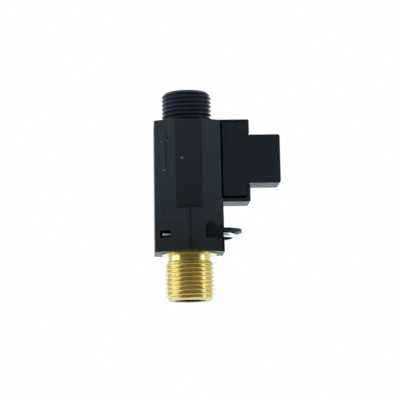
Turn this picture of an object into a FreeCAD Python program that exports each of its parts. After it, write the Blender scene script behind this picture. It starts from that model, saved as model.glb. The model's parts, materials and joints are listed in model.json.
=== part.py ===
import FreeCAD, Part

import math
import os

# Boiler flow switch, in millimetres.
# The origin is the centre of the inlet end face, on the axis of the flow.
# +Z runs with the flow, -Y is the front with the flat panel, +X is the side of the switch.

# Threaded ends, half inch parallel pipe thread, drawn at the major diameter
thread_diameter = 20.955
thread_end_chamfer = 1.4

# Brass inlet fitting
inlet_thread_length = 16.6
relief_length = 2.65
relief_diameter = 17.6
flange_diameter = 23.6
flange_thickness = 3.0
flange_stand_out = 0.6
flange_gap = 0.2
inlet_bore = 10.7
plug_diameter = 18.0
plug_length = 14.0
plug_bore = 9.0
plug_clearance = 0.08
plug_lead_in = 0.8

# Seals on the plug of the fitting
inlet_seal_section = 2.0
inlet_seal_depth = 2.1
inlet_seal_groove_width = 2.3
inlet_seal_spacing = 3.3
inlet_seal_below_top = 2.2
seal_clearance = 0.04

# Strainer in the inlet bore
strainer_start = 0.2
strainer_rim_height = 2.0
strainer_rim_wall = 0.9
strainer_cone_length = 9.0
strainer_nose_diameter = 2.6
strainer_nose_height = 1.2
strainer_mesh_thickness = 0.3
strainer_rib_thickness = 0.7
strainer_rib_depth = 0.7
strainer_rib_count = 3
strainer_clearance = 0.05

# Moulded body
body_height = 55.85
flats_at_inlet = 29.2
flats_at_outlet = 28.3
corner_radius = 0.5
ridge_radius = 1.0
panel_width = 11.1
panel_start = 17.65
outlet_length = 13.0
outlet_bore = 12.0
chamber_diameter = 16.0
chamber_end_below_top = 6.1

# Retaining clip of round wire
wire_diameter = 2.3
clip_height = 7.35
clip_leg_spacing = 16.2
clip_tip_reach = 11.8
clip_bend_reach = 21.0
clip_tip_rounding = 0.4
clip_clearance = 0.15
clip_groove_clearance = 0.15

# Housing of the clip on the body
clip_wall = 0.5
clip_pocket_start = 6.5
clip_pocket_below = 1.8
clip_pocket_above = 3.45
clip_housing_reach = 14.1
clip_step = 0.5
clip_ramp_rise = 1.4
clip_ramp_lean = 0.87
clip_roof_thickness = 1.35
clip_roof_reach = 22.4
window_start = 8.2
window_end = 12.4
window_height = 3.0

# Holder of the switch module on the body
holder_base = 13.75
holder_reach = 26.0
holder_depth = 14.2
holder_start = 21.15
holder_rise = 0.4
holder_wall = 1.4
holder_top_wall = 0.7
holder_back_wall = 1.2
holder_corner_radius = 0.6

# Switch module and its connector shroud
module_gap = 0.14
module_side_gap = 0.6
module_foot_height = 0.9
module_foot_width = 2.0
module_edge_chamfer = 0.4
module_wall = 1.0
module_cover_thickness = 1.0
shroud_floor = 1.2
shroud_reach = 39.0
shroud_bottom = 28.95
shroud_height = 20.75
shroud_wall = 1.6
shroud_gap = 0.6
shroud_corner_radius = 0.9
socket_key_width = 1.6
socket_key_height = 0.8

# Circuit board, reed switch and terminals in the module
board_thickness = 1.2
board_margin = 0.5
board_from_cover = 3.6
reed_from_board = 1.8
glass_diameter = 2.3
glass_wall = 0.35
glass_length = 14.0
glass_end = 2.0
blade_width = 0.9
blade_thickness = 0.25
blade_overlap = 1.6
blade_gap = 0.15
lead_diameter = 0.6
lead_straight = 1.5
lead_bend_radius = 0.9
lead_clearance = 0.02
tab_thickness = 0.8
tab_width = 2.8
tab_spacing = 8.0
tab_recess = 5.0
tab_point = 0.5
tab_clearance = 0.05

# Orifice ring that the piston closes
seat_gap = 0.2
seat_height = 3.2
seat_bore = 9.2
seat_clearance = 0.05
seat_lead_in = 0.6
seat_seal_section = 1.6
seat_seal_depth = 1.7
seat_seal_groove_width = 1.9

# Piston, magnet, spring and guide
piston_travel = 8.0
piston_gap = 0.3
piston_head_diameter = 11.8
piston_head_height = 2.0
piston_nose_diameter = 7.6
piston_nose_length = 2.4
piston_nose_tip_diameter = 5.0
piston_stem_diameter = 4.8
piston_stem_height = 9.3
piston_bore_floor = 1.8
piston_bore_clearance = 0.05
piston_seal_height = 0.9
piston_seal_wall = 1.5
magnet_diameter = 11.6
magnet_height = 6.0
magnet_seat_diameter = 6.3
magnet_clearance = 0.05
cap_height = 2.0
cap_rim_height = 0.8
cap_rim_wall = 1.0
spring_wire = 0.6
spring_coil_diameter = 6.6
spring_turns = 6
spring_lengths_per_turn = 20
spring_end_gap = 0.1
rod_diameter = 3.0
rod_end_gap = 0.5
rod_clearance = 0.01
spider_height = 3.0
spider_rim_wall = 0.9
spider_hub_diameter = 5.6
spider_arm_width = 1.6
spider_arm_count = 3
spider_clearance = 0.05

# Positions that follow from the sizes above
flange_bottom = inlet_thread_length + relief_length
flange_top = flange_bottom + flange_thickness
body_bottom = flange_bottom + flange_stand_out
body_top = body_bottom + body_height
outlet_end = body_top + outlet_length
plug_top = flange_top + plug_length
chamber_end = body_top - chamber_end_below_top
clip_axis = body_bottom + clip_height
clip_leg = clip_leg_spacing / 2
clip_bend_middle = clip_bend_reach - wire_diameter / 2 - clip_leg
clip_tunnel_radius = wire_diameter / 2 + clip_clearance
clip_face = clip_leg + clip_tunnel_radius + clip_wall
clip_pocket_bottom = clip_axis - clip_pocket_below
clip_pocket_top = clip_axis + clip_pocket_above
seat_bottom = plug_top + seat_gap
seat_top = seat_bottom + seat_height
head_bottom = seat_top + piston_gap
head_top = head_bottom + piston_head_height
magnet_top = head_top + magnet_height
cap_top = magnet_top + cap_height
stem_top = magnet_top + piston_stem_height
rod_bottom = head_bottom + piston_bore_floor + piston_travel + rod_end_gap
spider_bottom = chamber_end - spider_height
holder_bottom = body_bottom + holder_start
holder_top = body_top + holder_rise
holder_front = -holder_depth / 2
holder_back = holder_depth / 2
module_left = holder_base + module_side_gap
module_right = holder_reach - holder_wall - module_gap
module_back = holder_back - holder_back_wall - module_gap
module_foot_bottom = holder_bottom + holder_wall + module_gap
module_bottom = module_foot_bottom + module_foot_height
module_top = holder_top - holder_top_wall - module_gap
cavity_left = module_left + module_cover_thickness
cavity_right = module_right - module_wall
cavity_front = holder_front + module_wall
cavity_back = module_back - module_wall
cavity_bottom = module_bottom + module_wall
cavity_top = module_top - module_wall
shroud_base = holder_reach + module_gap
shroud_low = body_bottom + shroud_bottom
shroud_high = shroud_low + shroud_height
socket_floor = shroud_base + shroud_floor
board_left = cavity_left + board_from_cover
board_right = board_left + board_thickness
board_middle_y = (cavity_front + cavity_back) / 2
reed_x = board_left - reed_from_board
reed_middle_z = (cavity_bottom + cavity_top) / 2
glass_bottom = reed_middle_z - glass_length / 2
glass_top = reed_middle_z + glass_length / 2
tab_end = shroud_reach - tab_recess

# How far cuts run past the surfaces that they open
overrun = 10.0

# Share of an edge's length that has to lie along a direction, which lets drafted edges pass
nearly_all = 0.99

ORIGIN = FreeCAD.Vector(0, 0, 0)
AXIS = FreeCAD.Vector(0, 0, 1)
ACROSS = FreeCAD.Vector(1, 0, 0)
THROUGH = FreeCAD.Vector(0, 1, 0)

# How the straight lengths of a bent wire meet at their corners
MITRED = 1


def point(x, y, z):
    return FreeCAD.Vector(x, y, z)


def block(x_range, y_range, z_range):
    """A box between the given limits."""
    x0, x1 = x_range
    y0, y1 = y_range
    z0, z1 = z_range
    return Part.makeBox(x1 - x0, y1 - y0, z1 - z0, point(x0, y0, z0))


def round_bar(radius, bottom, top):
    """A cylinder on the axis of the flow."""
    return Part.makeCylinder(radius, top - bottom, point(0, 0, bottom), AXIS)


def turned(outline):
    """A solid turned about the axis of the flow from points of radius and height."""
    corners = [point(radius, 0, height) for radius, height in outline]
    profile = Part.Face(Part.makePolygon(corners + corners[:1]))
    return profile.revolve(ORIGIN, AXIS, 360)


def ring(inner_radius, outer_radius, bottom, top):
    """A plain ring on the axis of the flow."""
    return turned([
        (inner_radius, bottom),
        (outer_radius, bottom),
        (outer_radius, top),
        (inner_radius, top),
    ])


def o_ring(middle_radius, section, height):
    """A round seal about the axis of the flow."""
    return Part.makeTorus(middle_radius, section / 2, point(0, 0, height), AXIS)


def mirrored_front_to_back(shape):
    return shape.mirror(ORIGIN, THROUGH)


def on_both_faces(shape):
    """The shape at the front, and its mirror image at the back."""
    return shape.fuse(mirrored_front_to_back(shape))


def edges_along(shape, direction, test=lambda middle: True):
    """The edges of a shape that run along a direction and whose middle passes a test."""
    found = []
    for edge in shape.Edges:
        run = edge.Vertexes[-1].Point - edge.Vertexes[0].Point
        if abs(run.dot(direction)) > nearly_all * edge.Length and test(edge.CenterOfMass):
            found.append(edge)
    return found


def half_flats(height):
    """Half the width across the flats of the drafted hexagon at a height."""
    share = (height - body_bottom) / body_height
    return (flats_at_inlet + (flats_at_outlet - flats_at_inlet) * share) / 2


def hexagon(height, inset):
    """The outline of the column at a height: flat sides left and right, ridges at front and back."""
    apothem = half_flats(height) - inset
    corner = apothem / math.cos(math.radians(30))
    corners = []
    for index in range(6):
        angle = math.radians(30 + 60 * index)
        corners.append(point(corner * math.cos(angle), corner * math.sin(angle), height))
    return Part.makePolygon(corners + corners[:1])


def hexagonal_column(inset=0):
    """The drafted column of the body, wider at the inlet."""
    return Part.makeLoft([hexagon(body_bottom, inset), hexagon(body_top, inset)], True, True)


def body_column():
    column = hexagonal_column()
    ridges = edges_along(column, AXIS, lambda middle: abs(middle.x) < ridge_radius)
    column = column.makeFillet(ridge_radius, ridges)
    corners = edges_along(column, AXIS, lambda middle: abs(middle.x) > flats_at_outlet / 4)
    return column.makeFillet(corner_radius, corners)


def outlet_spigot():
    """The outlet end, a plain cylinder where the thread is cut."""
    radius = thread_diameter / 2
    return turned([
        (0, chamber_end),
        (radius, chamber_end),
        (radius, outlet_end - thread_end_chamfer),
        (radius - thread_end_chamfer, outlet_end),
        (0, outlet_end),
    ])


def water_way():
    """The stepped bore from the counterbore of the flange to the outlet."""
    flange_bore = flange_diameter / 2 + flange_gap
    socket = plug_diameter / 2 + plug_clearance
    chamber = chamber_diameter / 2
    outlet = outlet_bore / 2
    return turned([
        (0, body_bottom - overrun),
        (flange_bore, body_bottom - overrun),
        (flange_bore, flange_top + flange_gap),
        (socket, flange_top + flange_gap),
        (socket, seat_top),
        (chamber, seat_top),
        (chamber, chamber_end),
        (outlet, chamber_end),
        (outlet, outlet_end + overrun),
        (0, outlet_end + overrun),
    ])


def panel_front(height):
    """How far the flat panel stands in front of the axis where it cuts off the front ridge."""
    return (half_flats(height) * 2 - panel_width / 2) * math.tan(math.radians(30))


def front_panel_cut():
    """The flat panel on the front, from its foot to the top of the body."""
    side = -flats_at_inlet / 2
    foot = body_bottom + panel_start
    head = body_top + overrun
    corners = [
        point(side, -panel_front(foot), foot),
        point(side, -panel_front(head), head),
        point(side, -flats_at_inlet, head),
        point(side, -flats_at_inlet, foot),
    ]
    return Part.Face(Part.makePolygon(corners + corners[:1])).extrude(point(flats_at_inlet, 0, 0))


def clip_housing():
    """The square shoulder round the legs of the clip and the half-round roof over its bend."""
    shoulder = block((clip_pocket_start, clip_housing_reach), (-clip_face, clip_face),
                     (clip_pocket_bottom, clip_pocket_top))
    roof_bottom = clip_axis + wire_diameter / 2 + clip_clearance
    half = clip_leg + wire_diameter / 2
    nose_start = clip_roof_reach - half
    straight = block((clip_pocket_start, nose_start), (-half, half),
                     (roof_bottom, roof_bottom + clip_roof_thickness))
    nose = Part.makeCylinder(half, clip_roof_thickness, point(nose_start, 0, roof_bottom), AXIS)
    return shoulder.fuse([straight, nose])


def clip_ramp_cut():
    """The ramp above the recess of the clip, with a leaning wall on its left."""
    right = clip_housing_reach + overrun
    rise = clip_ramp_rise * overrun
    slope = Part.makePolygon([
        point(clip_pocket_start, -clip_face, clip_pocket_top),
        point(clip_pocket_start, -clip_face - overrun, clip_pocket_top),
        point(clip_pocket_start, -clip_face - overrun, clip_pocket_top + rise),
        point(clip_pocket_start, -clip_face, clip_pocket_top),
    ])
    ramp = Part.Face(slope).extrude(point(right - clip_pocket_start, 0, 0))
    wall = Part.makePolygon([
        point(clip_pocket_start, 0, clip_pocket_top),
        point(right, 0, clip_pocket_top),
        point(right, 0, clip_pocket_top + rise),
        point(clip_pocket_start + clip_ramp_lean * rise, 0, clip_pocket_top + rise),
        point(clip_pocket_start, 0, clip_pocket_top),
    ])
    return ramp.common(Part.Face(wall).extrude(point(0, -flats_at_inlet, 0)))


def clip_pocket_cut():
    """The recess in front of the clip, with a ramp above it and a shallow step below it."""
    right = clip_housing_reach + overrun
    flat = block((clip_pocket_start, right), (-clip_face - overrun, -clip_face),
                 (clip_pocket_bottom, clip_pocket_top))
    side_corner = half_flats(body_bottom) * math.tan(math.radians(30))
    below = block((clip_pocket_start, right), (-flats_at_inlet, -side_corner),
                  (body_bottom - overrun, clip_pocket_bottom))
    step = below.cut(hexagonal_column(clip_step))
    return flat.fuse([clip_ramp_cut(), step])


def clip_tunnel():
    """The hole for a leg of the clip and its bend, with the window where its tip shows."""
    start = -window_end
    length = clip_bend_reach - start
    hole = Part.makeCylinder(clip_tunnel_radius, length, point(start, -clip_leg, clip_axis), ACROSS)
    low = clip_axis - window_height / 2
    high = clip_axis + window_height / 2
    inner = -clip_leg + clip_tunnel_radius
    outer = -clip_leg - wire_diameter / 2
    window = block((-window_end, -window_start), (-flats_at_inlet, inner), (low, high))
    corners = [
        point(clip_bend_middle, outer, low),
        point(clip_bend_middle, outer, high),
        point(clip_bend_middle, inner, high),
        point(clip_bend_middle, inner, low),
    ]
    section = Part.Face(Part.makePolygon(corners + corners[:1]))
    bend = section.revolve(point(clip_bend_middle, 0, clip_axis), AXIS, 90)
    return hole.fuse([bend, window])


def switch_holder():
    """The box on the side of the body that takes the switch module from the front."""
    root = holder_base - holder_wall
    box = block((root, holder_reach), (holder_front, holder_back), (holder_bottom, holder_top))
    corners = edges_along(box, THROUGH, lambda middle: middle.x > holder_base)
    return box.makeFillet(holder_corner_radius, corners)


def switch_holder_cut():
    """The inside of the holder, open at the front and where the connector passes its side."""
    front = holder_front - overrun
    back = holder_back - holder_back_wall
    inside = block((holder_base, holder_reach - holder_wall), (front, back),
                   (holder_bottom + holder_wall, holder_top - holder_top_wall))
    doorway = block((holder_base, holder_reach + overrun), (front, back),
                    (shroud_low - shroud_gap, shroud_high + shroud_gap))
    return inside.fuse(doorway)


def flow_body():
    solid = body_column().cut(front_panel_cut())
    solid = solid.cut(on_both_faces(clip_pocket_cut()))
    solid = solid.fuse([outlet_spigot(), clip_housing(), switch_holder()])
    solid = solid.cut([water_way(), switch_holder_cut(), on_both_faces(clip_tunnel())])
    return solid.removeSplitter()


def inlet_fitting():
    """The turned brass piece: thread, relief neck, flange and grooved plug."""
    thread = thread_diameter / 2
    neck = relief_diameter / 2
    plug = plug_diameter / 2
    wire = wire_diameter / 2
    clip_groove = clip_leg - wire - clip_groove_clearance
    seal_groove = plug - inlet_seal_depth
    outline = [
        (inlet_bore / 2, 0),
        (thread - thread_end_chamfer, 0),
        (thread, thread_end_chamfer),
        (thread, inlet_thread_length - (thread - neck)),
        (neck, inlet_thread_length),
        (neck, flange_bottom),
        (flange_diameter / 2, flange_bottom),
        (flange_diameter / 2, flange_top),
        (plug, flange_top),
        (plug, clip_axis - wire - clip_groove_clearance),
        (clip_groove, clip_axis - wire - clip_groove_clearance),
        (clip_groove, clip_axis + wire + clip_groove_clearance),
        (plug, clip_axis + wire + clip_groove_clearance),
    ]
    for height in inlet_seal_heights():
        outline += [
            (plug, height - inlet_seal_groove_width / 2),
            (seal_groove, height - inlet_seal_groove_width / 2),
            (seal_groove, height + inlet_seal_groove_width / 2),
            (plug, height + inlet_seal_groove_width / 2),
        ]
    outline += [
        (plug, plug_top - plug_lead_in),
        (plug - plug_lead_in, plug_top),
        (plug_bore / 2, plug_top),
        (plug_bore / 2, flange_top),
        (inlet_bore / 2, flange_top),
    ]
    return turned(outline)


def inlet_seal_heights():
    upper = plug_top - inlet_seal_below_top
    return [upper - inlet_seal_spacing, upper]


def inlet_o_rings():
    groove = plug_diameter / 2 - inlet_seal_depth
    middle = groove + seal_clearance + inlet_seal_section / 2
    rings = [o_ring(middle, inlet_seal_section, height) for height in inlet_seal_heights()]
    return Part.makeCompound(rings)


def retaining_clip():
    """Two straight legs joined by a half-round bend."""
    wire = wire_diameter / 2
    tip = -clip_tip_reach
    front_turn = point(clip_bend_middle, -clip_leg, clip_axis)
    back_turn = point(clip_bend_middle, clip_leg, clip_axis)
    front_leg = Part.LineSegment(point(tip, -clip_leg, clip_axis), front_turn)
    bend = Part.Arc(front_turn, point(clip_bend_middle + clip_leg, 0, clip_axis), back_turn)
    back_leg = Part.LineSegment(back_turn, point(tip, clip_leg, clip_axis))
    path = Part.Wire([curve.toShape() for curve in (front_leg, bend, back_leg)])
    section = Part.Wire([Part.makeCircle(wire, point(tip, -clip_leg, clip_axis), ACROSS)])
    clip = path.makePipeShell([section], True, False)
    rims = [edge for edge in clip.Edges if isinstance(edge.Curve, Part.Circle)]
    tip_rims = [edge for edge in rims if abs(edge.CenterOfMass.x - tip) < clip_tip_rounding]
    return clip.makeChamfer(clip_tip_rounding, tip_rims)


def strainer_cone_radius(height):
    """The inner radius of the strainer's cone at a height above its rim."""
    base = inlet_bore / 2 - strainer_clearance - strainer_rim_wall
    nose = strainer_nose_diameter / 2
    return base + (nose - base) * height / strainer_cone_length


def strainer_mesh():
    rim_top = strainer_start + strainer_rim_height
    cone_top = rim_top + strainer_cone_length
    low = strainer_cone_radius(0)
    high = strainer_cone_radius(strainer_cone_length)
    return turned([
        (low, rim_top),
        (low + strainer_mesh_thickness, rim_top),
        (high + strainer_mesh_thickness, cone_top),
        (high, cone_top),
    ])


def strainer_frame():
    """The rim, the ribs outside the mesh and the nose where they meet."""
    rim_outside = inlet_bore / 2 - strainer_clearance
    rim_top = strainer_start + strainer_rim_height
    cone_top = rim_top + strainer_cone_length
    rim = ring(rim_outside - strainer_rim_wall, rim_outside, strainer_start, rim_top)
    low = strainer_cone_radius(0) + strainer_mesh_thickness
    high = strainer_cone_radius(strainer_cone_length) + strainer_mesh_thickness
    nose = round_bar(high + strainer_rib_depth, cone_top, cone_top + strainer_nose_height)
    solid = rim.fuse(nose)
    half = strainer_rib_thickness / 2
    rib_low = min(low + strainer_rib_depth, rim_outside)
    corners = [
        point(low, -half, rim_top),
        point(rib_low, -half, rim_top),
        point(high + strainer_rib_depth, -half, cone_top),
        point(high, -half, cone_top),
    ]
    rib = Part.Face(Part.makePolygon(corners + corners[:1])).extrude(point(0, strainer_rib_thickness, 0))
    rib = rib.cut(strainer_mesh())
    for index in range(strainer_rib_count):
        turned_rib = rib.copy()
        turned_rib.rotate(ORIGIN, AXIS, index * 360 / strainer_rib_count)
        solid = solid.fuse(turned_rib)
    return solid.removeSplitter()


def valve_seat():
    outside = plug_diameter / 2 + plug_clearance - seat_clearance
    groove = outside - seat_seal_depth
    middle = seat_bottom + seat_height / 2
    bore = seat_bore / 2
    return turned([
        (bore + seat_lead_in, seat_bottom),
        (outside, seat_bottom),
        (outside, middle - seat_seal_groove_width / 2),
        (groove, middle - seat_seal_groove_width / 2),
        (groove, middle + seat_seal_groove_width / 2),
        (outside, middle + seat_seal_groove_width / 2),
        (outside, seat_top),
        (bore, seat_top),
        (bore, seat_bottom + seat_lead_in),
    ])


def seat_o_ring():
    outside = plug_diameter / 2 + plug_clearance - seat_clearance
    groove = outside - seat_seal_depth
    middle_radius = groove + seal_clearance + seat_seal_section / 2
    return o_ring(middle_radius, seat_seal_section, seat_bottom + seat_height / 2)


def piston_bore_radius():
    return rod_diameter / 2 + piston_bore_clearance


def piston():
    """Nose in the orifice, head over it, seat of the magnet and hollow stem for the pin."""
    head = piston_head_diameter / 2
    nose = piston_nose_diameter / 2
    bore = piston_bore_radius()
    bore_floor = head_bottom + piston_bore_floor
    return turned([
        (0, head_bottom - piston_nose_length),
        (piston_nose_tip_diameter / 2, head_bottom - piston_nose_length),
        (nose, head_bottom),
        (nose, head_bottom + piston_seal_height),
        (nose + piston_seal_wall, head_bottom + piston_seal_height),
        (nose + piston_seal_wall, head_bottom),
        (head, head_bottom),
        (head, head_top),
        (magnet_seat_diameter / 2, head_top),
        (magnet_seat_diameter / 2, magnet_top),
        (piston_stem_diameter / 2, magnet_top),
        (piston_stem_diameter / 2, stem_top),
        (bore, stem_top),
        (bore, bore_floor),
        (0, bore_floor),
    ])


def piston_seal():
    nose = piston_nose_diameter / 2
    return ring(nose + seal_clearance, nose + piston_seal_wall - seal_clearance,
                head_bottom, head_bottom + piston_seal_height)


def ring_magnet():
    return ring(magnet_seat_diameter / 2 + magnet_clearance, magnet_diameter / 2, head_top, magnet_top)


def magnet_cap():
    """A flat ring with a rim that keeps the spring in the middle."""
    inside = piston_stem_diameter / 2 + magnet_clearance
    outside = magnet_diameter / 2
    return turned([
        (inside, magnet_top),
        (outside, magnet_top),
        (outside, cap_top + cap_rim_height),
        (outside - cap_rim_wall, cap_top + cap_rim_height),
        (outside - cap_rim_wall, cap_top),
        (inside, cap_top),
    ])


def return_spring():
    """A round wire wound in short straight lengths from the cap up to the spider."""
    wire = spring_wire / 2
    bottom = cap_top + spring_end_gap + wire
    top = spider_bottom - spring_end_gap - wire
    radius = spring_coil_diameter / 2
    lengths = spring_turns * spring_lengths_per_turn
    corners = []
    for index in range(lengths + 1):
        turn = 2 * math.pi * index / spring_lengths_per_turn
        height = bottom + (top - bottom) * index / lengths
        corners.append(point(radius * math.cos(turn), radius * math.sin(turn), height))
    section = Part.Wire([Part.makeCircle(wire, corners[0], corners[1] - corners[0])])
    return Part.makePolygon(corners).makePipeShell([section], True, False, MITRED)


def guide_rod():
    return round_bar(rod_diameter / 2, rod_bottom, chamber_end)


def guide_spider():
    """An outer ring against the end of the chamber, arms and a hub for the pin."""
    outside = chamber_diameter / 2 - spider_clearance
    rim = ring(outside - spider_rim_wall, outside, spider_bottom, chamber_end)
    hub_outside = spider_hub_diameter / 2
    solid = rim.fuse(round_bar(hub_outside, spider_bottom, chamber_end))
    half = spider_arm_width / 2
    arm = block((0, outside - spider_rim_wall / 2), (-half, half), (spider_bottom, chamber_end))
    for index in range(spider_arm_count):
        turned_arm = arm.copy()
        turned_arm.rotate(ORIGIN, AXIS, index * 360 / spider_arm_count)
        solid = solid.fuse(turned_arm)
    hole = round_bar(rod_diameter / 2 + rod_clearance, spider_bottom - overrun, chamber_end + overrun)
    return solid.cut(hole).removeSplitter()


def tab_heights():
    middle = (shroud_low + shroud_high) / 2
    return [middle - tab_spacing / 2, middle + tab_spacing / 2]


def tab_bar(x_range, height, margin):
    """A flat bar along X at the place of a terminal."""
    half_thickness = tab_thickness / 2 + margin
    half_width = tab_width / 2 + margin
    return block(x_range, (-half_thickness, half_thickness), (height - half_width, height + half_width))


def connector_shroud():
    """The open box round the terminals, with its neck through the side of the holder."""
    neck = block((module_right - module_wall, shroud_base), (holder_front, module_back),
                 (shroud_low, shroud_high))
    shell = block((shroud_base, shroud_reach), (holder_front, holder_back), (shroud_low, shroud_high))
    mouth_corners = edges_along(shell, THROUGH, lambda middle: middle.x > shroud_base + shroud_wall)
    return shell.makeFillet(shroud_corner_radius, mouth_corners).fuse(neck)


def connector_socket():
    """The inside of the shroud, open at its end."""
    low = shroud_low + shroud_wall
    socket = block((socket_floor, shroud_reach + overrun),
                   (holder_front + shroud_wall, holder_back - shroud_wall),
                   (low, shroud_high - shroud_wall))
    key = block((socket_floor, shroud_reach - shroud_wall),
                (-socket_key_width / 2, socket_key_width / 2),
                (low, low + socket_key_height))
    return socket.cut(key)


def switch_housing():
    """The module: a box open towards the body, feet below it and the connector shroud."""
    box = block((module_left, module_right), (holder_front, module_back), (module_bottom, module_top))
    left_edge = edges_along(box, AXIS, lambda middle: middle.y < cavity_front and middle.x < cavity_left)
    cross_edges = edges_along(box, ACROSS, lambda middle: middle.y < cavity_front)
    box = box.makeChamfer(module_edge_chamfer, left_edge + cross_edges)
    feet = []
    for left in (module_left + module_wall, module_right - module_wall - module_foot_width):
        feet.append(block((left, left + module_foot_width), (0, module_back),
                          (module_foot_bottom, module_bottom + module_wall)))
    solid = box.fuse(feet + [connector_shroud()])
    inside = block((module_left - overrun, cavity_right), (cavity_front, cavity_back),
                   (cavity_bottom, cavity_top))
    slots = [tab_bar((cavity_right - overrun, socket_floor + overrun), height, tab_clearance)
             for height in tab_heights()]
    return solid.cut([inside, connector_socket()] + slots).removeSplitter()


def switch_cover():
    return block((module_left, cavity_left), (cavity_front, cavity_back), (cavity_bottom, cavity_top))


def circuit_board():
    return block((board_left, board_right),
                 (cavity_front + board_margin, cavity_back - board_margin),
                 (cavity_bottom, cavity_top - board_margin))


def reed_glass():
    """A glass tube with ends melted shut round the leads."""
    outside = glass_diameter / 2
    inside = outside - glass_wall
    hole = lead_diameter / 2 + lead_clearance
    capsule = turned([
        (hole, glass_bottom),
        (outside - glass_wall, glass_bottom),
        (outside, glass_bottom + glass_wall),
        (outside, glass_top - glass_wall),
        (outside - glass_wall, glass_top),
        (hole, glass_top),
        (hole, glass_top - glass_end),
        (inside, glass_top - glass_end),
        (inside, glass_bottom + glass_end),
        (hole, glass_bottom + glass_end),
    ])
    capsule.translate(point(reed_x, board_middle_y, 0))
    return capsule


def reed_lead(seal_end, outward):
    """A lead from just inside the glass seal, out of the capsule and over to the board."""
    radius = lead_diameter / 2
    y = board_middle_y
    turn_start = seal_end + outward * (glass_end + lead_straight)
    turn_end = turn_start + outward * lead_bend_radius
    lean = lead_bend_radius * (1 - math.cos(math.pi / 4))
    rise = lead_bend_radius * math.sin(math.pi / 4)
    inner_end = seal_end - outward * lead_diameter
    straight = Part.LineSegment(point(reed_x, y, inner_end), point(reed_x, y, turn_start))
    bend = Part.Arc(point(reed_x, y, turn_start),
                    point(reed_x + lean, y, turn_start + outward * rise),
                    point(reed_x + lead_bend_radius, y, turn_end))
    tail = Part.LineSegment(point(reed_x + lead_bend_radius, y, turn_end), point(board_left, y, turn_end))
    path = Part.Wire([curve.toShape() for curve in (straight, bend, tail)])
    section = Part.Wire([Part.makeCircle(radius, point(reed_x, y, inner_end), point(0, 0, outward))])
    return path.makePipeShell([section], True, False)


def reed(seal_end, outward):
    """One reed: its lead and the flat blade that reaches past the middle of the capsule."""
    tip = reed_middle_z + outward * (-blade_overlap / 2)
    side = outward * (blade_gap + blade_thickness) / 2
    low, high = sorted((seal_end, tip))
    blade = block((reed_x + side - blade_thickness / 2, reed_x + side + blade_thickness / 2),
                  (board_middle_y - blade_width / 2, board_middle_y + blade_width / 2), (low, high))
    return reed_lead(seal_end, outward).fuse(blade).removeSplitter()


def reed_blades():
    lower = reed(glass_bottom + glass_end, -1)
    upper = reed(glass_top - glass_end, 1)
    return Part.makeCompound([lower, upper])


def terminal_tabs():
    """Flat terminals from the board into the socket, with pointed ends."""
    tabs = []
    for height in tab_heights():
        tab = tab_bar((board_right, tab_end), height, 0)
        end_edges = edges_along(tab, THROUGH, lambda middle: middle.x > tab_end - tab_point)
        tabs.append(tab.makeChamfer(tab_point, end_edges))
    return Part.makeCompound(tabs)


pieces = [
    flow_body,
    inlet_fitting,
    inlet_o_rings,
    retaining_clip,
    strainer_frame,
    strainer_mesh,
    valve_seat,
    seat_o_ring,
    piston,
    piston_seal,
    ring_magnet,
    magnet_cap,
    return_spring,
    guide_rod,
    guide_spider,
    switch_housing,
    switch_cover,
    circuit_board,
    reed_glass,
    reed_blades,
    terminal_tabs,
]

os.makedirs("parts", exist_ok=True)
for make_piece in pieces:
    make_piece().exportStep("parts/" + make_piece.__name__ + ".step")
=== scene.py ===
import json
import math

import bmesh
import bpy
from mathutils import Matrix, Vector

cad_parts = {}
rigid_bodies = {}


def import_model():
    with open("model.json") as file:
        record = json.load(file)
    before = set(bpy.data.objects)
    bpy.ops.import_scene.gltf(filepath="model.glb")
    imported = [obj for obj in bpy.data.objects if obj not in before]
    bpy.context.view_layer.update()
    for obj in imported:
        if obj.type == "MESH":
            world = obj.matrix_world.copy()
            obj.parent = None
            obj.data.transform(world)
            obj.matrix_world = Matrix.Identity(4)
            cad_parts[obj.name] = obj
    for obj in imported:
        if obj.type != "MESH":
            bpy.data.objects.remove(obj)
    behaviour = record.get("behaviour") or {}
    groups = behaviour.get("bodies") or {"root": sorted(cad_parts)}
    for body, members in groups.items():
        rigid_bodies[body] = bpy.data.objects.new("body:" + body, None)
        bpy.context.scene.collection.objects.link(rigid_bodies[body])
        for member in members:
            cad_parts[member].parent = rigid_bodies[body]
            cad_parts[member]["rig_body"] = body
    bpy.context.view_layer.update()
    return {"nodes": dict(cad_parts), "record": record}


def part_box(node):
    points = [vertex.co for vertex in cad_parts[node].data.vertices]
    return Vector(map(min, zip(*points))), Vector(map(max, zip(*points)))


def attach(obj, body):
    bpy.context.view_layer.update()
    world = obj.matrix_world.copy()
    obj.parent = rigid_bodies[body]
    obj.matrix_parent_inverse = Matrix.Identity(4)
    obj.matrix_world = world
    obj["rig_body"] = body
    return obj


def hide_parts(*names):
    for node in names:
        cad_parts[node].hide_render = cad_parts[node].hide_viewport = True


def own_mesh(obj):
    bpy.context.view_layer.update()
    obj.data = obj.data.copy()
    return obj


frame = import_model()
nodes = frame["nodes"]

MM = 0.001

# Camera, fitted to the photograph's 400 by 400 frame
picture_width = 400
focal_pixels = 1648.57
sensor_width = 36.0
camera_azimuth = math.radians(-2.866)
camera_elevation = math.radians(-8.16)
camera_roll = math.radians(-1.198)
camera_distance = 700 * MM
camera_target = Vector((5.013, 0, 42.842)) * MM
camera_clip_start = 10 * MM

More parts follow.
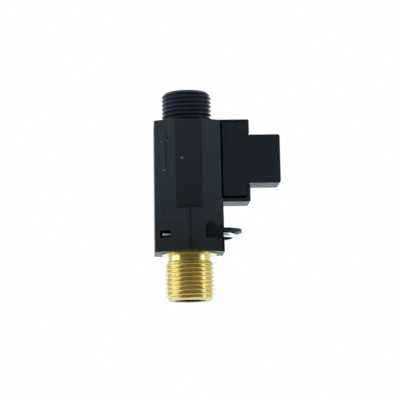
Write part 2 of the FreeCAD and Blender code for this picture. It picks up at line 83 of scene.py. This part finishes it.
# Half inch pipe thread with its rounded Whitworth form, whose depth and rounding are shares of the pitch
thread_radius = 10.4775 * MM
thread_pitch = 1.814 * MM
thread_depth = 0.6403
thread_rounding = 0.1373
thread_half_angle = math.radians(27.5)
thread_flank_start = thread_rounding * math.cos(thread_half_angle)
thread_flank_drop = thread_rounding * (1 - math.sin(thread_half_angle))
thread_end_chamfer = 1.4 * MM
thread_columns = 96
outlet_thread_start = 75.7 * MM
outlet_thread_end = 88.7 * MM
outlet_crest = 77.45 * MM
inlet_thread_start = 0.0
inlet_thread_end = 16.6 * MM
inlet_crest = 2.612 * MM
relief_radius = 8.8 * MM

# The plain cylinder that a thread takes the place of
plain_thread_inside = 0.8 * thread_radius
plain_thread_outside = 1.01 * thread_radius
plain_thread_margin = 0.02 * MM

# Meshes
merge_distance = 0.001 * MM
crease_angle = math.radians(26)

# Front of the body: a drafted hexagon with a flat panel
body_bottom = 19.85 * MM
body_top = 75.7 * MM
half_flats_bottom = 14.6 * MM
half_flats_top = 14.15 * MM
panel_width = 11.1 * MM
facet_slope = math.tan(math.radians(30))

# Flow arrow and gate mark moulded on the front
arrow_tip = (-9.84 * MM, 71.8 * MM)
arrow_head_base = 66.2 * MM
arrow_head_left = -12.28 * MM
arrow_head_right = -8.17 * MM
arrow_shaft_left = -11.1 * MM
arrow_shaft_right = -9.2 * MM
arrow_foot = 54.0 * MM
arrow_height = 0.28 * MM
arrow_draft = 0.3 * MM
# Sides of the marks that face down more steeply than this get a painted highlight
highlight_edge_slope = -0.35
gate_middle = (-2.86 * MM, 59.0 * MM)
gate_radius = 0.55 * MM
gate_height = 0.1 * MM
gate_draft = gate_radius / 4
gate_corners = 20
mark_rounding_share = 1 / 6
mark_rounding_segments = 2

# Return spring of the piston
spring_wire_radius = 0.3 * MM
spring_coil_radius = 3.3 * MM
spring_turns = 6
spring_rows_per_turn = 40
spring_columns = 12

# Values of a noise between which a finish goes from one end to the other
noise_low = 0.3
noise_high = 0.7

# Finish of the plastics
plastic_gloss = 0.1
plastic_gloss_tint = (0.69, 0.87, 1.0)
plastic_mottle_size = 0.9 * MM
plastic_mottle_detail = 6.0
softened_edge_radius = 0.12 * MM

# Colour of the body from its bottom to its top, where painted shade makes it darker and greyer towards
# the bottom
body_shaded_colour_bottom = (0.0082, 0.0090, 0.0090)
body_shaded_colour_middle = (0.0148, 0.0203, 0.0300)
body_colour_top = (0.0190, 0.0258, 0.0380)
body_middle = 0.42
body_mottle = 0.08

# Brass of the inlet, with painted shade round the mouth on its end face
brass_dark = (0.59, 0.49, 0.185)
brass_light = (0.67, 0.575, 0.27)
end_face_colour = (0.63, 0.53, 0.228)
end_face_edge_tint = (0.8, 0.8, 0.8)
end_face_slope = -0.9
end_face_height = 0.01 * MM
mouth_shade_colour = (0.02, 0.018, 0.012)
mouth_shade_edge_tint = (0.08, 0.08, 0.08)
mouth_shade_fade_start = 6.0 * MM
mouth_shade_fade_end = 6.8 * MM
mouth_shade_raggedness = 0.15 * MM

# Weave of the strainer's mesh and of the board's glass cloth
mesh_wires = 72
mesh_wire_angle = 2 * math.pi / mesh_wires
mesh_row_pitch = 0.4 * MM
cloth_pitch = 0.5 * MM

# Studio, in metres
floor_height = -65 * MM
floor_width = 1.7
floor_front = 0.6
floor_back = 1.8
floor_colour = (0.86, 0.86, 0.85)
floor_glow = 0.5
floor_seen_glow = 0.08
floor_glow_colour = (0.62, 0.88, 1.0)
card_distance = 0.9
card_width = 2.9
card_foot = floor_height + 2 * MM
front_card_top = math.radians(60)
front_card_steps = 12
front_card_colour = (0.56, 0.49, 0.31)
front_card_low_colour = (0.13, 0.098, 0.05)
front_card_fade_start = 0.176
front_card_fade_end = 0.304
floor_card_start = 30 * MM
floor_card_colour = (0.43, 0.395, 0.33)
softbox_distance = 0.9
softbox_rise = 0.4
softbox_height = 0.9
softbox_colour = (0.82, 0.9, 1.0)
left_softbox_width = 0.95
left_softbox_azimuth = math.radians(-85)
left_softbox_power = 6.2
right_softbox_width = 0.22
right_softbox_azimuth = math.radians(79)
right_softbox_power = 3.2
fill_strength = 0.85
backdrop_strength = 1.0


def half_flats(height):
    """Half the distance between opposite flats of the body at a height."""
    share = (height - body_bottom) / (body_top - body_bottom)
    return half_flats_bottom + share * (half_flats_top - half_flats_bottom)


def on_front(x, z):
    """The point of the body's front facets at x and z."""
    return Vector((x, -(2 * half_flats(z) - abs(x)) * facet_slope, z))


def on_panel(x, z):
    """The point of the flat front panel at x and z."""
    return Vector((x, on_front(panel_width / 2, z).y, z))


def add_object(name, shape):
    """Turns a finished shape into an object of the scene."""
    mesh = bpy.data.meshes.new(name)
    shape.to_mesh(mesh)
    shape.free()
    piece = bpy.data.objects.new(name, mesh)
    bpy.context.scene.collection.objects.link(piece)
    return piece


def crease(shape, smooth_faces):
    """Smooth shading that breaks at sharp edges, but not inside the given faces."""
    for face in shape.faces:
        face.smooth = True
    for edge in shape.edges:
        if len(edge.link_faces) != 2:
            continue
        if all(face in smooth_faces for face in edge.link_faces):
            continue
        edge.smooth = edge.calc_face_angle() < crease_angle


def even_normals(piece):
    """Keeps flat faces flat where they run into small fillets."""
    modifier = piece.modifiers.new("even_normals", "WEIGHTED_NORMAL")
    modifier.keep_sharp = True


# Threads

def depth_below_crest(turns):
    """How deep the thread's form lies below its crest, a number of turns away from one."""
    away = abs(turns - round(turns))
    if away < thread_flank_start:
        drop = thread_rounding - math.sqrt(thread_rounding ** 2 - away ** 2)
    elif away > 0.5 - thread_flank_start:
        rest = 0.5 - away
        drop = thread_depth - thread_rounding + math.sqrt(thread_rounding ** 2 - rest ** 2)
    else:
        drop = thread_flank_drop + (away - thread_flank_start) / math.tan(thread_half_angle)
    return drop * thread_pitch


def thread_rows():
    """Shares of a pitch at which the thread's form is sampled, from one crest to the next."""
    first_half = [
        0,
        thread_flank_start / 2,
        thread_flank_start,
        0.25,
        0.5 - thread_flank_start,
        0.5 - thread_flank_start / 2,
    ]
    return first_half + [0.5 + share for share in first_half]


def add_thread(shape, low, high, crest, limit_radius, foot_radius):
    """A right-hand helical thread between two heights, kept inside a limit for each height."""
    shares = thread_rows()
    first_turn = math.floor((low - crest) / thread_pitch) - 1
    last_turn = math.ceil((high - crest) / thread_pitch) + 1
    columns = []
    for index in range(thread_columns + 1):
        turned = index / thread_columns
        angle = 2 * math.pi * turned
        column = []
        if foot_radius:
            column.append((foot_radius, low))
        for turn in range(first_turn, last_turn):
            for share in shares:
                height = crest + (turn + share + turned) * thread_pitch
                height = min(max(height, low), high)
                form = depth_below_crest((height - crest) / thread_pitch - turned)
                column.append((min(thread_radius - form, limit_radius(height)), height))
        ring = [shape.verts.new((radius * math.cos(angle), radius * math.sin(angle), height))
                for radius, height in column]
        columns.append(ring)
    for left, right in zip(columns, columns[1:]):
        for row in range(len(left) - 1):
            shape.faces.new((left[row], right[row], right[row + 1], left[row + 1]))
    added = [vert for ring in columns for vert in ring]
    bmesh.ops.remove_doubles(shape, verts=added, dist=merge_distance)


def threaded_copy(node, low, high, crest, limit_radius, foot_radius):
    """A copy of a node with its plain thread cylinder replaced by a helical thread."""
    shape = bmesh.new()
    shape.from_mesh(nodes[node].data)
    bmesh.ops.remove_doubles(shape, verts=shape.verts, dist=merge_distance)
    plain = []
    for face in shape.faces:
        middle = face.calc_center_median()
        radius = math.hypot(middle.x, middle.y)
        in_length = low + plain_thread_margin < middle.z < high - plain_thread_margin
        if in_length and plain_thread_inside < radius < plain_thread_outside:
            plain.append(face)
    bmesh.ops.delete(shape, geom=plain, context="FACES")
    kept = set(shape.faces)
    add_thread(shape, low, high, crest, limit_radius, foot_radius)
    crease(shape, set(shape.faces) - kept)
    piece = add_object(node + "_threaded", shape)
    even_normals(piece)
    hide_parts(node)
    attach(piece, nodes[node]["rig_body"])
    return piece


def outlet_limit(height):
    """The outlet's radius, which a chamfer makes smaller at its end."""
    return thread_radius - max(0, height - (outlet_thread_end - thread_end_chamfer))


def inlet_limit(height):
    """The inlet's radius, which a chamfer makes smaller at its end and at the relief neck."""
    at_entry = thread_radius - max(0, thread_end_chamfer - height)
    at_relief = relief_radius + inlet_thread_end - height
    return min(at_entry, at_relief)


# Return spring

def wound_spring(low, high):
    """A smooth helix of round wire between two heights."""
    shape = bmesh.new()
    rows = spring_turns * spring_rows_per_turn
    length = high - low - 2 * spring_wire_radius
    rings = []
    for row in range(rows + 1):
        around = 2 * math.pi * row / spring_rows_per_turn
        outward = Vector((math.cos(around), math.sin(around), 0))
        middle = outward * spring_coil_radius
        middle.z = low + spring_wire_radius + length * row / rows
        ring = []
        for column in range(spring_columns):
            angle = 2 * math.pi * column / spring_columns
            side = outward * math.cos(angle)
            side.z = math.sin(angle)
            ring.append(shape.verts.new(middle + side * spring_wire_radius))
        rings.append(ring)
    for lower, upper in zip(rings, rings[1:]):
        for column in range(spring_columns):
            after = (column + 1) % spring_columns
            shape.faces.new((lower[column], lower[after], upper[after], upper[column]))
    shape.faces.new(rings[0])
    shape.faces.new(rings[-1])
    bmesh.ops.recalc_face_normals(shape, faces=shape.faces)
    crease(shape, set())
    piece = add_object("return_spring_wound", shape)
    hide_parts("return_spring")
    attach(piece, "body")
    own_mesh(piece)
    return piece


# Moulded marks

def raised_mark(name, outline, place, height, draft):
    """A mark that stands proud of the body, with sloping sides and rounded edges."""
    shape = bmesh.new()
    crown = shape.faces.new([shape.verts.new(place(x, z)) for x, z in outline])
    crown.normal_update()
    if crown.normal.y > 0:
        crown.normal_flip()
    shape.normal_update()
    bmesh.ops.inset_region(shape, faces=[crown], thickness=draft, depth=height,
                           use_even_offset=True, use_boundary=True)
    bmesh.ops.bevel(shape, geom=list(shape.edges), offset=draft * mark_rounding_share,
                    segments=mark_rounding_segments, affect="EDGES", clamp_overlap=True)
    crease(shape, set())
    piece = add_object(name, shape)
    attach(piece, "body")
    return piece


# Materials

class Surface:
    """A procedural material built round one Principled shader."""

    def __init__(self, name, colour, roughness, metallic=0.0):
        self.material = bpy.data.materials.new(name)
        self.material.use_nodes = True
        self.tree = self.material.node_tree
        self.shader = self.tree.nodes["Principled BSDF"]
        self.shader.inputs["Base Color"].default_value = (*colour, 1)
        self.shader.inputs["Roughness"].default_value = roughness
        self.shader.inputs["Metallic"].default_value = metallic
        self.place = self.add("ShaderNodeTexCoord").outputs["Object"]
        self.normal = None

    def add(self, kind, **settings):
        """A new node of the given kind."""
        node = self.tree.nodes.new(kind)
        for key, value in settings.items():
            setattr(node, key, value)
        return node

    def link(self, output, target):
        """Joins a node's output to another node's input."""
        self.tree.links.new(output, target)

    def maths(self, operation, first, second=None):
        """The result of an operation on plain numbers or nodes' outputs."""
        node = self.add("ShaderNodeMath", operation=operation)
        for socket, value in zip(node.inputs, (first, second)):
            if isinstance(value, (int, float)):
                socket.default_value = value
            elif value is not None:
                self.link(value, socket)
        return node.outputs[0]

    def axes(self, place):
        """The x, y and z of a place, as three outputs."""
        parts = self.add("ShaderNodeSeparateXYZ")
        self.link(place, parts.inputs[0])
        return parts.outputs

    def noise(self, size, detail, place=None):
        """Cloudy noise whose features have the given size in metres."""
        node = self.add("ShaderNodeTexNoise")
        node.inputs["Scale"].default_value = 1 / size
        node.inputs["Detail"].default_value = detail
        self.link(place or self.place, node.inputs["Vector"])
        return node.outputs["Fac"]

    def wave(self, along, pitch):
        """A sine wave along a coordinate."""
        return self.maths("SINE", self.maths("MULTIPLY", along, 2 * math.pi / pitch))

    def weave(self, warp, weft):
        """The height of two crossing waves, from 0 to 1."""
        product = self.maths("MULTIPLY", warp, weft)
        return self.maths("ADD", self.maths("MULTIPLY", product, 0.5), 0.5)

    def stretched(self, x, y, z):
        """Coordinates scaled by a number for each axis."""
        node = self.add("ShaderNodeMapping")
        node.inputs["Scale"].default_value = (x, y, z)
        self.link(self.place, node.inputs["Vector"])
        return node.outputs["Vector"]

    def rings(self):
        """Coordinates that are the same all the way round the axis, as marks of turning are."""
        x, y, z = self.axes(self.place)
        squares = self.maths("ADD", self.maths("MULTIPLY", x, x), self.maths("MULTIPLY", y, y))
        joined = self.add("ShaderNodeCombineXYZ")
        self.link(self.maths("SQRT", squares), joined.inputs[0])
        self.link(z, joined.inputs[2])
        return joined.outputs[0]

    def between(self, factor, low, high, from_low=noise_low, from_high=noise_high):
        """A number that goes from low to high as a factor does."""
        node = self.add("ShaderNodeMapRange")
        node.inputs["From Min"].default_value = from_low
        node.inputs["From Max"].default_value = from_high
        node.inputs["To Min"].default_value = low
        node.inputs["To Max"].default_value = high
        self.link(factor, node.inputs["Value"])
        return node.outputs["Result"]

    def fade(self, length, start, end):
        """A factor that takes colours from dark to light between two lengths."""
        return self.between(length, noise_low, noise_high, from_low=start, from_high=end)

    def colours(self, factor, dark, light, target="Base Color"):
        """A colour that goes from dark to light with a factor; the ramp is returned for more stops."""
        ramp = self.add("ShaderNodeValToRGB")
        ramp.color_ramp.elements[0].position = noise_low
        ramp.color_ramp.elements[0].color = (*dark, 1)
        ramp.color_ramp.elements[1].position = noise_high
        ramp.color_ramp.elements[1].color = (*light, 1)
        self.link(factor, ramp.inputs["Fac"])
        self.link(ramp.outputs["Color"], self.shader.inputs[target])
        return ramp.color_ramp

    def rough(self, factor, low, high):
        """Roughness that goes from low to high with a factor."""
        self.link(self.between(factor, low, high), self.shader.inputs["Roughness"])

    def soften_edges(self):
        """Rounds the shading of sharp edges."""
        node = self.add("ShaderNodeBevel", samples=6)
        node.inputs["Radius"].default_value = softened_edge_radius
        self.normal = node.outputs["Normal"]
        self.link(self.normal, self.shader.inputs["Normal"])

    def bump(self, factor, height, strength):
        """Relief of a height in metres, on top of the relief that is there."""
        node = self.add("ShaderNodeBump")
        node.inputs["Distance"].default_value = height
        node.inputs["Strength"].default_value = strength
        self.link(factor, node.inputs["Height"])
        if self.normal:
            self.link(self.normal, node.inputs["Normal"])
        self.normal = node.outputs["Normal"]
        self.link(self.normal, self.shader.inputs["Normal"])


def satin_plastic(name, colour, smooth, rough, grain_size, grain_height):
    """Satin moulded plastic of one colour: fine grain, slight waves and soft edges."""
    surface = Surface(name, colour, rough)
    surface.shader.inputs["Specular IOR Level"].default_value = plastic_gloss
    surface.shader.inputs["Specular Tint"].default_value = (*plastic_gloss_tint, 1)
    surface.rough(surface.noise(size=2.5 * MM, detail=5.0), smooth, rough)
    surface.soften_edges()
    surface.bump(surface.noise(size=9 * MM, detail=2.0), height=0.06 * MM, strength=0.5)
    surface.bump(surface.noise(grain_size, detail=3.0), grain_height, strength=0.6)
    return surface


def moulded_plastic(name, dark, light, **finish):
    """Satin plastic with a fine mottle between two colours."""
    surface = satin_plastic(name, light, **finish)
    surface.colours(surface.noise(plastic_mottle_size, plastic_mottle_detail), dark, light)
    return surface.material


def shade_painted_plastic(name, **finish):
    """The body's satin plastic with a fine mottle, and painted shade that makes it darker and greyer
    towards the inlet.
    """
    surface = satin_plastic(name, body_colour_top, **finish)
    # Painted shade: the colour darkens and greys from the top down to the inlet
    height = surface.fade(surface.axes(surface.place)[2], body_bottom, body_top)
    mottle = surface.between(surface.noise(plastic_mottle_size, plastic_mottle_detail),
                             -body_mottle, body_mottle)
    ramp = surface.colours(surface.maths("ADD", height, mottle), body_shaded_colour_bottom, body_colour_top)
    middle = ramp.elements.new(noise_low + body_middle * (noise_high - noise_low))
    middle.color = (*body_shaded_colour_middle, 1)
    return surface.material


def turned_metal(name, dark, light, smooth, rough, ring_size, ring_height):
    """Turned metal with fine ring marks round its axis."""
    surface = Surface(name, light, rough, metallic=1.0)
    rings = surface.rings()
    surface.colours(surface.noise(size=4 * MM, detail=4.0), dark, light)
    surface.rough(surface.noise(3 * ring_size, detail=4.0, place=rings), smooth, rough)
    surface.soften_edges()
    surface.bump(surface.noise(ring_size, detail=3.0, place=rings), ring_height, strength=0.7)
    surface.bump(surface.noise(size=0.8 * MM, detail=4.0), ring_height, strength=0.4)
    return surface.material


def mouth_shade_brass():
    """Brass of the inlet's end face, with painted shade round the mouth."""
    surface = Surface("mouth_shade_brass", brass_light, roughness=0.4, metallic=1.0)
    radius = surface.axes(surface.rings())[0]
    # Painted shade round the mouth: dark colour and dark reflections inside a ragged radius
    ragged = surface.between(surface.noise(size=1 * MM, detail=4.0), -mouth_shade_raggedness, mouth_shade_raggedness)
    past_mouth_shade = surface.fade(surface.maths("ADD", radius, ragged), mouth_shade_fade_start, mouth_shade_fade_end)
    surface.colours(past_mouth_shade, mouth_shade_colour, end_face_colour)
    surface.colours(past_mouth_shade, mouth_shade_edge_tint, end_face_edge_tint, target="Specular Tint")
    surface.rough(surface.noise(size=0.4 * MM, detail=3.0), low=0.35, high=0.5)
    surface.bump(surface.noise(size=0.12 * MM, detail=3.0), height=0.006 * MM, strength=0.7)
    return surface.material


def plated_wire(name, dark, light, smooth, rough):
    """Bright plated wire with faint drawing marks and pits."""
    surface = Surface(name, light, rough, metallic=1.0)
    drawn = surface.stretched(x=0.08, y=1, z=1)
    surface.colours(surface.noise(size=3 * MM, detail=4.0), dark, light)
    surface.rough(surface.noise(size=1.2 * MM, detail=4.0), smooth, rough)
    surface.bump(surface.noise(size=0.25 * MM, detail=3.0, place=drawn), height=0.004 * MM, strength=0.6)
    surface.bump(surface.noise(size=0.5 * MM, detail=4.0), height=0.006 * MM, strength=0.4)
    return surface.material


def seal_rubber():
    """Black rubber with a fine dull grain."""
    surface = Surface("seal_rubber", (0.012, 0.012, 0.012), roughness=0.6)
    surface.colours(surface.noise(size=1.5 * MM, detail=4.0),
                    dark=(0.009, 0.009, 0.009), light=(0.02, 0.02, 0.021))
    surface.rough(surface.noise(size=1 * MM, detail=4.0), low=0.5, high=0.75)
    surface.bump(surface.noise(size=0.15 * MM, detail=4.0), height=0.012 * MM, strength=0.6)
    return surface.material


def woven_mesh():
    """Steel gauze: warp and weft rows round and up the strainer."""
    surface = Surface("mesh_steel", (0.6, 0.61, 0.63), roughness=0.35, metallic=1.0)
    x, y, z = surface.axes(surface.place)
    around = surface.maths("ARCTAN2", y, x)
    weave = surface.weave(surface.wave(around, mesh_wire_angle), surface.wave(z, mesh_row_pitch))
    surface.colours(weave, dark=(0.16, 0.165, 0.17), light=(0.64, 0.65, 0.67))
    surface.rough(surface.noise(size=1 * MM, detail=3.0), low=0.28, high=0.45)
    surface.bump(weave, height=0.12 * MM, strength=1.0)
    return surface.material


def sintered_magnet():
    """Dark grey sintered magnet with a coarse dull grain."""
    surface = Surface("magnet", (0.1, 0.1, 0.105), roughness=0.55, metallic=0.4)
    surface.colours(surface.noise(size=0.5 * MM, detail=6.0),
                    dark=(0.06, 0.06, 0.063), light=(0.14, 0.14, 0.145))
    surface.rough(surface.noise(size=0.8 * MM, detail=4.0), low=0.45, high=0.7)
    surface.bump(surface.noise(size=0.12 * MM, detail=5.0), height=0.02 * MM, strength=0.7)
    return surface.material


def laminate_board():
    """Green laminate with the weave of its glass cloth showing faintly."""
    surface = Surface("board", (0.03, 0.2, 0.08), roughness=0.4)
    along_depth, along_height = surface.axes(surface.place)[1:]
    weave = surface.weave(surface.wave(along_depth, cloth_pitch),
                          surface.wave(along_height, cloth_pitch))
    surface.colours(weave, dark=(0.025, 0.17, 0.065), light=(0.035, 0.23, 0.09))
    surface.rough(surface.noise(size=2 * MM, detail=3.0), low=0.3, high=0.5)
    surface.bump(weave, height=0.008 * MM, strength=0.5)
    return surface.material


def reed_glass():
    """Clear, slightly green glass."""
    surface = Surface("reed_glass", (0.75, 0.9, 0.8), roughness=0.04)
    surface.shader.inputs["Transmission Weight"].default_value = 1.0
    surface.shader.inputs["IOR"].default_value = 1.5
    surface.colours(surface.noise(size=4 * MM, detail=2.0),
                    dark=(0.68, 0.86, 0.74), light=(0.8, 0.93, 0.85))
    surface.rough(surface.noise(size=2 * MM, detail=3.0), low=0.02, high=0.07)
    surface.bump(surface.noise(size=1.5 * MM, detail=2.0), height=0.02 * MM, strength=0.3)
    return surface.material


def dress(piece, material):
    """Gives a piece one material."""
    piece.data.materials.clear()
    piece.data.materials.append(material)


def dress_faces(piece, material, chosen):
    """Gives the chosen faces of a piece a second material."""
    piece.data.materials.append(material)
    for face in piece.data.polygons:
        if chosen(face):
            face.material_index = 1


def is_end_face(face):
    """True on the flat ring round the inlet's mouth."""
    return face.normal.z < end_face_slope and face.center.z < end_face_height


def is_highlight_edge(face):
    """True on the sides of a mark that face down, which get a painted highlight."""
    return face.normal.z < highlight_edge_slope


finishes = {
    # The body's plastic carries painted shade, darker and greyer towards the inlet
    "body_plastic": shade_painted_plastic(
        "body_plastic", smooth=0.28, rough=0.4, grain_size=0.18 * MM, grain_height=0.012 * MM),
    "module_plastic": moulded_plastic(
        "module_plastic", dark=(0.0120, 0.0164, 0.0260), light=(0.0181, 0.0250, 0.0392),
        smooth=0.3, rough=0.42, grain_size=0.15 * MM, grain_height=0.012 * MM),
    "brass": turned_metal(
        "brass", brass_dark, brass_light,
        smooth=0.2, rough=0.3, ring_size=0.12 * MM, ring_height=0.006 * MM),
    "spring_wire": plated_wire(
        "spring_wire", dark=(0.62, 0.7, 0.77), light=(0.72, 0.8, 0.87), smooth=0.14, rough=0.24),
    "seal_rubber": seal_rubber(),
    "inner_plastic": moulded_plastic(
        "inner_plastic", dark=(0.72, 0.71, 0.67), light=(0.8, 0.79, 0.75),
        smooth=0.4, rough=0.55, grain_size=0.2 * MM, grain_height=0.01 * MM),
    "strainer_plastic": moulded_plastic(
        "strainer_plastic", dark=(0.003, 0.003, 0.0033), light=(0.005, 0.005, 0.0055),
        smooth=0.8, rough=0.95, grain_size=0.2 * MM, grain_height=0.01 * MM),
    "mesh_steel": woven_mesh(),
    "magnet": sintered_magnet(),
    "board": laminate_board(),
    "reed_glass": reed_glass(),
    "reed_metal": plated_wire(
        "reed_metal", dark=(0.6, 0.6, 0.58), light=(0.7, 0.7, 0.68), smooth=0.2, rough=0.32),
    "tab_metal": plated_wire(
        "tab_metal", dark=(0.68, 0.68, 0.66), light=(0.78, 0.78, 0.76), smooth=0.22, rough=0.34),
}
# Lighter plastic on the gate mark, a painted highlight
gate_highlight_plastic = moulded_plastic(
    "gate_highlight_plastic", dark=(0.05, 0.06, 0.067), light=(0.12, 0.13, 0.14),
    smooth=0.5, rough=0.65, grain_size=0.12 * MM, grain_height=0.03 * MM)
# Lighter plastic on the arrow's downward sides, a painted highlight
highlight_edge_plastic = moulded_plastic(
    "highlight_edge_plastic", dark=(0.06, 0.07, 0.08), light=(0.15, 0.165, 0.18),
    smooth=0.35, rough=0.5, grain_size=0.12 * MM, grain_height=0.02 * MM)

for part in frame["record"]["subparts"]:
    dress(nodes[part["node"]], finishes[part["material_slot"]])

# Pieces that stand for CAD nodes or are added to them
body = threaded_copy("flow_body", outlet_thread_start, outlet_thread_end, outlet_crest,
                     outlet_limit, thread_radius)
dress(body, finishes["body_plastic"])

inlet = threaded_copy("inlet_fitting", inlet_thread_start, inlet_thread_end, inlet_crest,
                      inlet_limit, None)
dress(inlet, finishes["brass"])
# The inlet's end face gets painted shade round the mouth
dress_faces(inlet, mouth_shade_brass(), is_end_face)

spring_low, spring_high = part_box("return_spring")
dress(wound_spring(spring_low[2], spring_high[2]), finishes["spring_wire"])

arrow_outline = [
    arrow_tip,
    (arrow_head_right, arrow_head_base),
    (arrow_shaft_right, arrow_head_base),
    (arrow_shaft_right, arrow_foot),
    (arrow_shaft_left, arrow_foot),
    (arrow_shaft_left, arrow_head_base),
    (arrow_head_left, arrow_head_base),
]
arrow = raised_mark("flow_arrow", arrow_outline, on_front, arrow_height, arrow_draft)
dress(arrow, finishes["body_plastic"])
# The arrow's downward sides get a painted highlight
dress_faces(arrow, highlight_edge_plastic, is_highlight_edge)

gate_outline = []
for index in range(gate_corners):
    angle = 2 * math.pi * index / gate_corners
    gate_outline.append((gate_middle[0] + gate_radius * math.cos(angle),
                         gate_middle[1] + gate_radius * math.sin(angle)))
# The gate mark gets a painted highlight
dress(raised_mark("gate_mark", gate_outline, on_panel, gate_height, gate_draft), gate_highlight_plastic)

# Camera
back = Vector((math.sin(camera_azimuth) * math.cos(camera_elevation),
               -math.cos(camera_azimuth) * math.cos(camera_elevation),
               math.sin(camera_elevation)))
level = Vector((math.cos(camera_azimuth), math.sin(camera_azimuth), 0))
upright = back.cross(level)
camera_right = level * math.cos(camera_roll) + upright * math.sin(camera_roll)
camera_up = upright * math.cos(camera_roll) - level * math.sin(camera_roll)
camera_data = bpy.data.cameras.new("camera")
camera_data.sensor_width = sensor_width
camera_data.lens = focal_pixels / picture_width * sensor_width
camera_data.clip_start = camera_clip_start
camera = bpy.data.objects.new("camera", camera_data)
camera.matrix_world = Matrix((camera_right, camera_up, back)).transposed().to_4x4()
camera.matrix_world.translation = camera_target + back * camera_distance
bpy.context.scene.collection.objects.link(camera)
bpy.context.scene.camera = camera


# Floor, cards and lights

def matt_surface(name, colour):
    """A finish without gloss for the floor and the cards."""
    surface = Surface(name, colour, roughness=0.7)
    surface.shader.inputs["Specular IOR Level"].default_value = 0.0
    surface.rough(surface.noise(size=50 * MM, detail=3.0), low=0.6, high=0.8)
    return surface


def stage_sheet(name, surface, width, profile):
    """A sheet across the set, along a profile of points of depth and height."""
    shape = bmesh.new()
    left = [shape.verts.new((-width / 2, depth, height)) for depth, height in profile]
    right = [shape.verts.new((width / 2, depth, height)) for depth, height in profile]
    for index in range(len(profile) - 1):
        shape.faces.new((left[index], right[index], right[index + 1], left[index + 1]))
    sheet = add_object(name, shape)
    dress(sheet, surface.material)
    return sheet


# A pale floor that glows a little where it is mirrored, and less where the camera sees it
floor_surface = matt_surface("floor", floor_colour)
floor_path = floor_surface.add("ShaderNodeLightPath")
mirrored = floor_surface.maths("MAXIMUM", floor_path.outputs["Is Glossy Ray"],
                               floor_path.outputs["Is Transmission Ray"])
mirrored_glow = floor_surface.maths("MULTIPLY", mirrored, floor_glow)
seen_glow = floor_surface.maths("MULTIPLY", floor_path.outputs["Is Camera Ray"], floor_seen_glow)
glow = floor_surface.maths("ADD", mirrored_glow, seen_glow)
floor_surface.shader.inputs["Emission Color"].default_value = (*floor_glow_colour, 1)
floor_surface.link(glow, floor_surface.shader.inputs["Emission Strength"])
stage_sheet("floor", floor_surface, floor_width,
            [(-floor_front, floor_height), (floor_back, floor_height)])

# A curved card in front, dark at its foot, that the camera doesn't see
front_card_profile = []
for index in range(front_card_steps + 1):
    rise = front_card_top * index / front_card_steps
    front_card_profile.append((-card_distance * math.cos(rise),
                               card_foot + card_distance * math.sin(rise)))
front_surface = matt_surface("front_card", front_card_colour)
card_height = front_surface.axes(front_surface.place)[2]
front_surface.colours(front_surface.fade(card_height, front_card_fade_start, front_card_fade_end),
                      front_card_low_colour, front_card_colour)
front_card = stage_sheet("front_card", front_surface, card_width, front_card_profile)
front_card.visible_camera = False

# A card on the floor in front, that shows only in mirrored surfaces and through glass
floor_card = stage_sheet("floor_card", matt_surface("floor_card", floor_card_colour), card_width,
                         [(-floor_card_start, card_foot), (-card_distance, card_foot)])
floor_card.visible_camera = False
floor_card.visible_diffuse = False
floor_card.visible_shadow = False


def beside(azimuth):
    """A place beside the object and above it."""
    return Vector((math.sin(azimuth) * softbox_distance,
                   -math.cos(azimuth) * softbox_distance,
                   camera_target.z + softbox_rise))


def softbox(name, place, width, power):
    """A soft light that faces the middle of the object."""
    lamp = bpy.data.lights.new(name, "AREA")
    lamp.shape = "RECTANGLE"
    lamp.size = width
    lamp.size_y = softbox_height
    lamp.energy = power
    lamp.color = softbox_colour
    holder = bpy.data.objects.new(name, lamp)
    holder.location = place
    holder.rotation_euler = (camera_target - place).to_track_quat("-Z", "Y").to_euler()
    bpy.context.scene.collection.objects.link(holder)


softbox("left_softbox", beside(left_softbox_azimuth), left_softbox_width, left_softbox_power)
softbox("right_softbox", beside(right_softbox_azimuth), right_softbox_width, right_softbox_power)

# White backdrop for what is seen directly, mirrored or through glass, and a soft fill for the rest
world = bpy.data.worlds.new("studio")
bpy.context.scene.world = world
world.use_nodes = True
sky_nodes = world.node_tree.nodes
sky_links = world.node_tree.links
sky = sky_nodes["Background"]
sky.inputs["Color"].default_value = (1, 1, 1, 1)
path = sky_nodes.new("ShaderNodeLightPath")
seen = path.outputs["Is Camera Ray"]
for output in ("Is Glossy Ray", "Is Transmission Ray"):
    either = sky_nodes.new("ShaderNodeMath")
    either.operation = "MAXIMUM"
    sky_links.new(seen, either.inputs[0])
    sky_links.new(path.outputs[output], either.inputs[1])
    seen = either.outputs[0]
level_of_light = sky_nodes.new("ShaderNodeMapRange")
level_of_light.inputs["To Min"].default_value = fill_strength
level_of_light.inputs["To Max"].default_value = backdrop_strength
sky_links.new(seen, level_of_light.inputs["Value"])
sky_links.new(level_of_light.outputs["Result"], sky.inputs["Strength"])

bpy.context.scene.view_settings.view_transform = "Standard"
